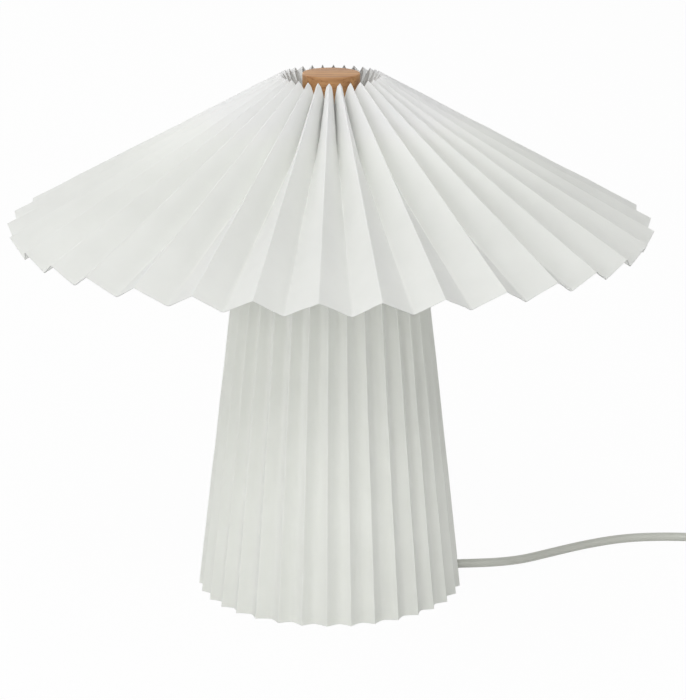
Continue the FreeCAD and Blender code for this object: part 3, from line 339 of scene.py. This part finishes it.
# %% [markdown]
# Cuts across the folds and along the faces give the paper room to bend. Each corner moves a
# fraction of a millimetre at random, and narrow bevels soften the folds as thick paper does.

# %% Cuts and soft folds
CUTS_ACROSS, CUTS_ALONG = 9, 3
UPWARDS_DEG = 0.8                # an edge up the paper turns by less than this
NEAR_FOLD = 0.12                 # share of a face that still counts as its fold


def across_face(place, first_deg):
    """How far across its face a place is: 0 on an outer fold and 1 on an inner one."""
    from_outer = between(degrees_round(place), first_deg) % STEP_DEG
    return min(from_outer, STEP_DEG - from_outer) / (STEP_DEG / 2)


def is_outer(across):
    return across < NEAR_FOLD


def is_inner(across):
    return across > 1 - NEAR_FOLD


def along_fold(a, b):
    """True for an edge that runs up the paper, and not across a face."""
    return between(degrees_round(a), degrees_round(b)) < UPWARDS_DEG


def cut_paper(paper, wave, seed):
    """Cut the faces up, and move each corner by up to wave millimetres."""
    pick_edges(paper, along_fold)
    bpy.ops.mesh.subdivide(number_cuts=CUTS_ACROSS)
    pick_edges(paper, lambda a, b: not along_fold(a, b))
    bpy.ops.mesh.subdivide(number_cuts=CUTS_ALONG)
    bpy.ops.mesh.select_mode(type="VERT")
    bpy.ops.mesh.select_all(action="SELECT")
    bpy.ops.transform.vertex_random(offset=wave * MM, uniform=0, normal=1, seed=seed)


def soften_folds(paper, first_deg, wanted, width):
    """Bevel the folds for which wanted(across) is true."""
    pick_edges(paper, lambda a, b: along_fold(a, b) and wanted(across_face(a, first_deg)))
    bpy.ops.mesh.bevel(offset=width * MM, segments=3, affect="EDGES")


# %% [markdown]
# The faces of real pleats aren't flat. Where the shade is drawn together, each pleat swells
# until it nearly touches the next one. On the skirt the inner folds are soft and the outer
# ones crisp. Both are a change of one face's cross-section, so one function moves every point
# of a paper: it works out how far up the fold and how far across the face the point is, and
# a profile gives the new place across the face and the new depth behind the outer folds.

# %% Shape the faces
def reshape(paper, move):
    """Move every point of the paper to where move(place) puts it."""
    mesh = bmesh.from_edit_mesh(paper.data)
    place = paper.matrix_world
    back = place.inverted()
    for vertex in mesh.verts:
        vertex.co = back @ move(place @ vertex.co)
    bmesh.update_edit_mesh(paper.data)


def bend_faces(paper, outer, inner, first_deg, profile):
    """Profile(up, across) gives the new across and the new depth; all run from 0 to 1."""
    low, high = Vector(outer[0]), Vector(outer[1])
    fold = high - low
    normal = Vector((fold.y, -fold.x)).normalized()
    depths = [(low - Vector(inner[0])).dot(normal), (high - Vector(inner[1])).dot(normal)]

    def move(p):
        flat = Vector((math.hypot(p.x, p.y) / MM, p.z / MM))
        up = (flat - low).dot(fold) / fold.length_squared
        depth = depths[0] + (depths[1] - depths[0]) * up
        share = min(max((low - flat).dot(normal) / depth, 0), 1)
        across, deep = profile(min(max(up, 0), 1), share)
        flat -= normal * depth * (deep - share)
        degrees = degrees_round(p)
        side = (degrees - first_deg + STEP_DEG / 2) % STEP_DEG - STEP_DEG / 2
        degrees += math.copysign(across - share, side) * STEP_DEG / 2
        a = math.radians(degrees)
        return Vector((flat.x * math.sin(a), -flat.x * math.cos(a), flat.y)) * MM

    reshape(paper, move)


# %% [markdown]
# The shade's folds are gathered by hand, so at the top they aren't evenly spaced: they stand
# wider at the front and the back and closer at the sides. Turning a fold's upper end about
# the lamp's axis does this. Solidify then gives the sheet its thickness, and weighted normals
# keep the faces between the folds looking flat.

# %% Gather the top, and give the paper its thickness
GATHER = 0.09                    # radians that an upper end turns at the most
PAPER = 0.4


def gather_top(paper, rim_r, top_r):
    """Turn the folds' upper ends about the lamp's axis; the folds themselves stay straight."""
    def move(p):
        r = math.hypot(p.x, p.y) / MM
        lean = top_r / r * (rim_r - r) / (rim_r - top_r)
        turn = GATHER * lean * math.sin(2 * math.radians(degrees_round(p)))
        return Matrix.Rotation(turn, 3, "Z") @ p

    reshape(paper, move)


def thicken(paper):
    bpy.ops.object.mode_set(mode="OBJECT")
    bpy.ops.object.shade_smooth()
    apply_modifier(paper, "SOLIDIFY", thickness=PAPER * MM, offset=0)
    apply_modifier(paper, "WEIGHTED_NORMAL", keep_sharp=True)


# %% [markdown]
# The shade is a straight strip: its faces are as wide at the top as at the rim, and only
# stand closer together there. The swelling starts 85 mm below the top and grows towards the
# cap. The radii and heights are the CAD model's, so the paper lies on the wires that carry it.

# %% Shade
SHADE_OUTER = ((215.0, 255.0), (33.6, 354.2))
SHADE_INNER = ((209.2, 244.9), (22.8, 334.4))
SHADE_FIRST_DEG = -2.07
GATHERED_MM = 85.0
FOLD_MM = math.dist(*SHADE_OUTER)
SWELL_START, SWELL_WIDE, SWELL_DEEP = 1.5, 2.1, 1.55


def swollen(up, across):
    near = max(0, 1 - (1 - up) * FOLD_MM / GATHERED_MM) ** SWELL_START
    wide = 1 - (1 - across) ** SWELL_WIDE
    deep = across ** SWELL_DEEP
    return across + near * (wide - across), across + near * (deep - across)


shade = fold_ring("pleated_shade", SHADE_OUTER, SHADE_INNER, SHADE_FIRST_DEG)
cut_paper(shade, wave=0.25, seed=3)
soften_folds(shade, SHADE_FIRST_DEG, is_outer, width=0.25)
soften_folds(shade, SHADE_FIRST_DEG, is_inner, width=1.2)
bend_faces(shade, SHADE_OUTER, SHADE_INNER, SHADE_FIRST_DEG, swollen)
gather_top(shade, SHADE_OUTER[0][0], SHADE_OUTER[1][0])
thicken(shade)
end_piece(shade, "shade", "shade_paper", "shade_paper")

# %% [markdown]
# The skirt is the same kind of strip, nearly upright. Its outer folds are crisp, and its inner
# ones round off where the paper is stuck to the wire rings.

# %% Skirt
SKIRT_OUTER = ((89.9, 0.6), (60.0, 262.0))
SKIRT_INNER = ((84.8, 0.6), (54.0, 262.0))
SKIRT_FIRST_DEG = -1.4
SOFT_VALLEY = 1.6


def soft_valley(up, across):
    return across, 1 - (1 - across) ** SOFT_VALLEY


skirt = fold_ring("pleated_skirt", SKIRT_OUTER, SKIRT_INNER, SKIRT_FIRST_DEG)
cut_paper(skirt, wave=0.12, seed=5)
soften_folds(skirt, SKIRT_FIRST_DEG, is_outer, width=0.35)
bend_faces(skirt, SKIRT_OUTER, SKIRT_INNER, SKIRT_FIRST_DEG, soft_valley)
thicken(skirt)
print("skirt folded, with its notch still to cut")

# %% [markdown]
# A small notch in the skirt's lower edge lets the flex out. Scissors cut it in the real paper.
# Here a block stands in for them, and a boolean takes it away from the skirt.

# %% Notch for the flex
NOTCH_W, NOTCH_H = 11.0, 15.5
CUTTER_R, CUTTER_LONG, CUTTER_BELOW = 87.0, 40.0, 20.0

deselect()
bpy.ops.mesh.primitive_cube_add(
    size=1, location=(CUTTER_R * MM, 0, (NOTCH_H - CUTTER_BELOW) / 2 * MM))
notch = start_piece("notch_cutter")
bpy.ops.mesh.select_all(action="SELECT")
bpy.ops.transform.resize(
    value=(CUTTER_LONG * MM, NOTCH_W * MM, (NOTCH_H + CUTTER_BELOW) * MM))
bpy.ops.transform.rotate(value=-GLAND_ANGLE, orient_axis="Z", center_override=CENTRE)
bpy.ops.object.mode_set(mode="OBJECT")
apply_modifier(skirt, "BOOLEAN", operation="DIFFERENCE", object=notch, solver="EXACT")
bpy.data.objects.remove(notch)
end_piece(skirt, "root", "skirt_paper", "skirt_paper")

# %% [markdown]
# ## Wooden cap
# The cap is a turned disc with just-broken edges. It could be spun from a profile, but with so
# plain a shape a cylinder that is bevelled at both rims is the shorter way. The hole for the
# brass insert is inset and sunk from below.

# %% Wooden cap
CAP_R, CAP_H, CAP_EDGE = 19.1, 18.0, 0.9
CAP_SIDES = 128
BORE_R, BORE_DEPTH = 4.55, 12.0
SAME_HEIGHT = 1e-5

cap_low, cap_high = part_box("wooden_cap")
deselect()
bpy.ops.mesh.primitive_cylinder_add(vertices=CAP_SIDES, radius=CAP_R * MM, depth=CAP_H * MM,
                                    location=(0, 0, (cap_low.z + cap_high.z) / 2))
wood = start_piece("turned_cap")
pick_edges(wood, lambda a, b: abs(a.z - b.z) < SAME_HEIGHT)
bpy.ops.mesh.bevel(offset=CAP_EDGE * MM, segments=4, affect="EDGES")
pick_points(wood, lambda p: p.z < cap_low.z + SAME_HEIGHT)
bpy.ops.mesh.inset(thickness=(CAP_R - CAP_EDGE - BORE_R) * MM)
bpy.ops.mesh.extrude_region_move(TRANSFORM_OT_translate={"value": (0, 0, BORE_DEPTH * MM)})
bpy.ops.object.mode_set(mode="OBJECT")
bpy.ops.object.shade_smooth_by_angle(angle=math.radians(40))
end_piece(wood, "cap", "beech", "wooden_cap")

# %% [markdown]
# ## Finishes
# Every finish is built from the same few parts: a colour that drifts a little, a fine grain in
# the roughness, and a bump. Object coordinates keep the patterns still when a piece moves.

# %% Nodes that every finish uses
def new_finish(name, roughness, metallic=0.0):
    material = bpy.data.materials.new(name)
    material.use_nodes = True
    shader = material.node_tree.nodes["Principled BSDF"]
    shader.inputs["Roughness"].default_value = roughness
    shader.inputs["Metallic"].default_value = metallic
    return material, shader


def add_node(material, kind, **values):
    """A new node; each value goes to the socket of that name, or else to the setting."""
    node = material.node_tree.nodes.new("ShaderNode" + kind)
    for key, value in values.items():
        if key in node.inputs:
            node.inputs[key].default_value = value
        else:
            setattr(node, key, value)
    return node


def join(material, output, target):
    material.node_tree.links.new(output, target)


def noise(material, scale, detail=4.0, stretch=(1, 1, 1)):
    """Noise in the piece's own coordinates; a larger stretch makes it finer on that axis."""
    coordinates = add_node(material, "TexCoord")
    mapping = add_node(material, "Mapping", Scale=stretch)
    texture = add_node(material, "TexNoise", Scale=scale, Detail=detail)
    join(material, coordinates.outputs["Object"], mapping.inputs["Vector"])
    join(material, mapping.outputs["Vector"], texture.inputs["Vector"])
    return texture.outputs[0]


# %% Colour, roughness and bump from a pattern
def ramp(material, value, first, second, low=0.35, high=0.65):
    """The first colour up to low, the second from high on, and a blend between."""
    node = add_node(material, "ValToRGB")
    for element, place, colour in zip(node.color_ramp.elements, (low, high), (first, second)):
        element.position = place
        element.color = (*colour, 1)
    join(material, value, node.inputs["Fac"])
    return node.outputs["Color"]


def remap(material, value, from_range, to_range, kind="LINEAR"):
    node = add_node(material, "MapRange", interpolation_type=kind)
    for socket, number in zip(("From Min", "From Max", "To Min", "To Max"),
                              (*from_range, *to_range)):
        node.inputs[socket].default_value = number
    join(material, value, node.inputs["Value"])
    return node.outputs[0]


def vary_roughness(material, shader, value, low, high):
    join(material, remap(material, value, (0, 1), (low, high)), shader.inputs["Roughness"])


def bump(material, shader, value, depth_mm):
    node = add_node(material, "Bump", Strength=1.0, Distance=depth_mm * MM)
    join(material, value, node.inputs["Height"])
    join(material, node.outputs["Normal"], shader.inputs["Normal"])


# %% Change a colour that is already there
MIX_FACTOR, MIX_COLOUR_A, MIX_COLOUR_B, MIX_COLOUR_OUT = 0, 6, 7, 2


def overlay(material, shader, blend="MIX"):
    """Put a Mix node between the base colour's pattern and the shader, and hand it over."""
    mix = add_node(material, "Mix", data_type="RGBA", blend_type=blend)
    base = shader.inputs["Base Color"]
    join(material, base.links[0].from_socket, mix.inputs[MIX_COLOUR_A])
    join(material, mix.outputs[MIX_COLOUR_OUT], base)
    return mix


# %% [markdown]
# Most of the lamp's plastics and metals differ only in colour, gloss and how coarse their
# surface is, so one recipe with those few numbers serves them all.

# %% A plain finish
def shades(colour, spread):
    """The colour a little darker and a little lighter."""
    return (tuple(c * (1 - spread) for c in colour),
            tuple(min(1, c * (1 + spread)) for c in colour))


def plain_finish(name, colour, roughness, metallic=0.0, spread=0.03, grain=900, depth=0.02):
    material, shader = new_finish(name, roughness, metallic)
    drift = ramp(material, noise(material, 30), *shades(colour, spread))
    join(material, drift, shader.inputs["Base Color"])
    fine = noise(material, grain)
    vary_roughness(material, shader, fine, roughness * 0.85, min(1, roughness * 1.15))
    bump(material, shader, fine, depth)
    return material


# %% [markdown]
# Paper is matte, with fibres too fine to see one by one and a slight cloudiness where the pulp
# lies thicker. A little light comes through it, which subsurface scattering as deep as the
# paper is thick gives. Where the shade's folds stand close together, paper is backed by more
# paper and loses less light to the inside. That light is painted into the shade's colour,
# which is made lighter towards the top: painted light on paper that is one colour all over.

# %% Paper
# Painted shade and painted light: the shade and the skirt are one paper, but the shade's
# colour is set a little darker and the skirt's a little lighter for how light falls on each.
SKIRT_COLOUR = (0.846, 0.86, 0.815)
SHADE_COLOUR = (0.806, 0.814, 0.79)
# Painted light: between these heights the shade's colour is mixed towards this lighter colour,
# standing in for light that passes through the gathered folds.
GATHERED_PAINTED_LIGHT = (0.955, 0.965, 0.935)
GATHERED_FROM_Z, GATHERED_TO_Z = 280.0, 345.0


def paper_finish(name, colour):
    material, shader = new_finish(name, 0.85)
    cloudy = ramp(material, noise(material, 45, detail=8), *shades(colour, 0.012))
    join(material, cloudy, shader.inputs["Base Color"])
    bump(material, shader, noise(material, 700, detail=6), 0.03)
    shader.inputs["Specular IOR Level"].default_value = 0.2
    shader.inputs["Subsurface Weight"].default_value = 1.0
    shader.inputs["Subsurface Radius"].default_value = (1, 1, 1)
    shader.inputs["Subsurface Scale"].default_value = PAPER * MM
    return material


def paint_gathered_light(material):
    """Paint light into the paper's colour: lighter with height, between the two heights above.
    """
    coordinates = add_node(material, "TexCoord")
    axes = add_node(material, "SeparateXYZ")
    join(material, coordinates.outputs["Object"], axes.inputs[0])
    heights = (GATHERED_FROM_Z * MM, GATHERED_TO_Z * MM)
    rise = remap(material, axes.outputs["Z"], heights, (0, 1), "SMOOTHSTEP")
    # Painted light, mixed into the base colour more strongly with height.
    painted_light_mix = overlay(material, material.node_tree.nodes["Principled BSDF"])
    painted_light_mix.inputs[MIX_COLOUR_B].default_value = (*GATHERED_PAINTED_LIGHT, 1)
    join(material, rise, painted_light_mix.inputs[MIX_FACTOR])
    return material


# %% [markdown]
# The cap is oiled beech: long straight grain, and short dark flecks where the wood's rays are
# cut through. Both are the same noise, drawn out along the grain and at two scales. The flecks
# are multiplied into the grain, so they darken it without hiding it.

# %% Wood
WOOD_DARK, WOOD_LIGHT = (0.34, 0.15, 0.055), (0.62, 0.34, 0.145)
WHITE, FLECK = (1, 1, 1), (0.72, 0.6, 0.5)


def wood_finish(name):
    material, shader = new_finish(name, 0.5)
    grain = noise(material, 160, detail=6, stretch=(0.08, 1, 1))
    flecks = noise(material, 650, detail=2, stretch=(0.12, 1, 1))
    join(material, ramp(material, grain, WOOD_DARK, WOOD_LIGHT, 0.3, 0.62),
         shader.inputs["Base Color"])
    darker = overlay(material, shader, "MULTIPLY")
    darker.inputs[MIX_FACTOR].default_value = 1.0
    join(material, ramp(material, flecks, WHITE, FLECK, 0.56, 0.66),
         darker.inputs[MIX_COLOUR_B])
    vary_roughness(material, shader, grain, 0.4, 0.6)
    bump(material, shader, flecks, 0.03)
    shader.inputs["Specular IOR Level"].default_value = 0.35
    return material


# %% [markdown]
# Each part of the record names its finish. Painted steel has a fine orange peel, cast iron and
# ceramic are coarse, nickel and brass are metallic and drift a little in colour where hands
# and air have dulled them, and moulded plastics are smooth. Depths are in millimetres.

# %% The record's finishes
PLAIN_FINISHES = {
    "white_steel": dict(colour=(0.8, 0.8, 0.79), roughness=0.45, depth=0.03, grain=1500),
    "white_wire": dict(colour=(0.78, 0.78, 0.77), roughness=0.4, depth=0.003, grain=1200),
    "zinc_steel": dict(colour=(0.62, 0.62, 0.63), roughness=0.38, metallic=1.0, spread=0.08),
    "cast_iron": dict(colour=(0.12, 0.12, 0.13), roughness=0.75, metallic=0.6, grain=350,
                      depth=0.2),
    "foot_rubber": dict(colour=(0.05, 0.05, 0.05), roughness=0.8, grain=700, depth=0.04),
    "nickel": dict(colour=(0.72, 0.7, 0.66), roughness=0.2, metallic=1.0, spread=0.04),
    "brass": dict(colour=(0.72, 0.52, 0.22), roughness=0.3, metallic=1.0, spread=0.08),
    "holder_plastic": dict(colour=(0.8, 0.8, 0.78), roughness=0.4),
    "holder_ceramic": dict(colour=(0.8, 0.78, 0.72), roughness=0.7, grain=500, depth=0.05),
    "bulb_plastic": dict(colour=(0.8, 0.8, 0.79), roughness=0.3),
    "opal_globe": dict(colour=(0.88, 0.87, 0.84), roughness=0.35, spread=0.01),
    "fibre": dict(colour=(0.3, 0.12, 0.06), roughness=0.75, spread=0.15, grain=600,
                  depth=0.05),
    "gland_plastic": dict(colour=(0.55, 0.56, 0.52), roughness=0.5),
    "flex_sheath": dict(colour=(0.585, 0.595, 0.54), roughness=0.45, spread=0.02,
                        depth=0.004),
    "switch_plastic": dict(colour=(0.75, 0.75, 0.73), roughness=0.3),
    "rocker_plastic": dict(colour=(0.72, 0.72, 0.7), roughness=0.3),
    "tie_plastic": dict(colour=(0.05, 0.05, 0.05), roughness=0.6),
    "plug_plastic": dict(colour=(0.75, 0.75, 0.73), roughness=0.3),
    "sleeve_plastic": dict(colour=(0.3, 0.3, 0.29), roughness=0.45),
}
finishes = {
    # The shade's finish carries painted light, lighter towards its top.
    "shade_paper": paint_gathered_light(paper_finish("shade_paper", SHADE_COLOUR)),
    "skirt_paper": paper_finish("skirt_paper", SKIRT_COLOUR),
    "beech": wood_finish("beech"),
}
for name, look in PLAIN_FINISHES.items():
    finishes[name] = plain_finish(name, **look)
print("finishes:", len(finishes))


# %% Give every piece its finish
def wear(piece, slot):
    """Give a piece one of the finishes, in place of whatever it had."""
    piece.data.materials.clear()
    piece.data.materials.append(finishes[slot])


for part in frame["record"]["subparts"]:
    wear(frame["nodes"][part["node"]], part["material_slot"])
own_pieces = (lamp_flex, plug_flex, shade, skirt, wood)
for piece in own_pieces:
    wear(piece, piece["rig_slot"])

# %% [markdown]
# ## Light and floor
# The lamp stands on plain white in the photo. A brighter light would wash out the paper, so
# the floor is white only to the camera's own rays and to reflections, and an ordinary pale
# floor to the light that falls on it. The white costs the lamp nothing that way, and the floor
# still catches the lamp's shadow.

# %% Floor
FLOOR_SIZE = 12
FLOOR_COLOUR = (0.9, 0.9, 0.9)
FLOOR_WHITE = 0.965              # the rest of what the camera sees is the lit floor


def white_to_camera(material):
    """A factor that is 1 for rays from the camera, in reflections and through glass."""
    path = add_node(material, "LightPath")
    total = path.outputs["Is Camera Ray"]
    for kind in ("Is Glossy Ray", "Is Transmission Ray"):
        either = add_node(material, "Math", operation="MAXIMUM")
        join(material, total, either.inputs[0])
        join(material, path.outputs[kind], either.inputs[1])
        total = either.outputs[0]
    return total


bpy.ops.mesh.primitive_plane_add(size=FLOOR_SIZE)
floor = bpy.context.object
floor.name = "floor"
floor_finish, floor_shader = new_finish("floor_white", 1.0)
floor_shader.inputs["Base Color"].default_value = (*FLOOR_COLOUR, 1)
glow = add_node(floor_finish, "Emission", Strength=1.0)
blend = add_node(floor_finish, "MixShader")
share = add_node(floor_finish, "Math", operation="MULTIPLY")
share.inputs[1].default_value = FLOOR_WHITE
surface = floor_finish.node_tree.nodes["Material Output"].inputs["Surface"]
join(floor_finish, white_to_camera(floor_finish), share.inputs[0])
join(floor_finish, share.outputs[0], blend.inputs["Fac"])
join(floor_finish, floor_shader.outputs[0], blend.inputs[1])
join(floor_finish, glow.outputs[0], blend.inputs[2])
join(floor_finish, blend.outputs[0], surface)
floor.data.materials.append(floor_finish)
print("floor is", FLOOR_SIZE, "metres wide")

# %% [markdown]
# The room is an even white light from all round, which keeps the shadows under the shade soft.
# It shines at about a third of full strength on the lamp, and at full strength, which is
# white, to the camera, in the same way as the floor.

# %% Room
ROOM_LIGHT = 0.36
MIX_NUMBER_A, MIX_NUMBER_B = 2, 3

world = bpy.data.worlds.new("room")
world.use_nodes = True
bpy.context.scene.world = world
room_light = world.node_tree.nodes["Background"]
room_light.inputs["Color"].default_value = (1, 1, 1, 1)
strength = add_node(world, "Mix")
strength.inputs[MIX_NUMBER_A].default_value = ROOM_LIGHT
strength.inputs[MIX_NUMBER_B].default_value = 1.0
join(world, white_to_camera(world), strength.inputs[MIX_FACTOR])
join(world, strength.outputs[0], room_light.inputs["Strength"])
print("room light:", ROOM_LIGHT)

# %% [markdown]
# The photo's light is soft and nearly even, a little stronger from the front and the left, so
# the left side of a fold is a shade lighter than its right side. Six wide discs do this: one
# in front and above, one at the left beside the camera, two low ones that reach under the
# shade to the skirt, one from above for the cap, and one from behind for the far folds.

# %% Soft lamps
LAMPS_AIM_AT = (0, 0, 0.2)
SOFT_LAMPS = {                   # name: place, width and power
    "front_lamp": ((0, -2.4, 2.2), 1.2, 17.5),
    "left_lamp": ((-1.2, -2.6, 1.0), 1.2, 14),
    "low_left_lamp": ((-2.3, -1.6, 0.7), 1.2, 7.5),
    "low_right_lamp": ((2.0, -2.0, 0.7), 1.2, 6),
    "top_lamp": ((-0.3, -0.5, 3.0), 1.6, 14),
    "back_lamp": ((-1.4, 2.2, 1.6), 1.6, 14),
}

for name, (place, width, power) in SOFT_LAMPS.items():
    bpy.ops.object.light_add(type="AREA", location=place)
    lamp = bpy.context.object
    lamp.name = name
    lamp.data.shape = "DISK"
    lamp.data.size = width
    lamp.data.energy = power
    towards = Vector(LAMPS_AIM_AT) - Vector(place)
    lamp.rotation_euler = towards.to_track_quat("-Z", "Y").to_euler()
bpy.context.scene.view_settings.view_transform = "Standard"
print("soft lamps:", len(SOFT_LAMPS))
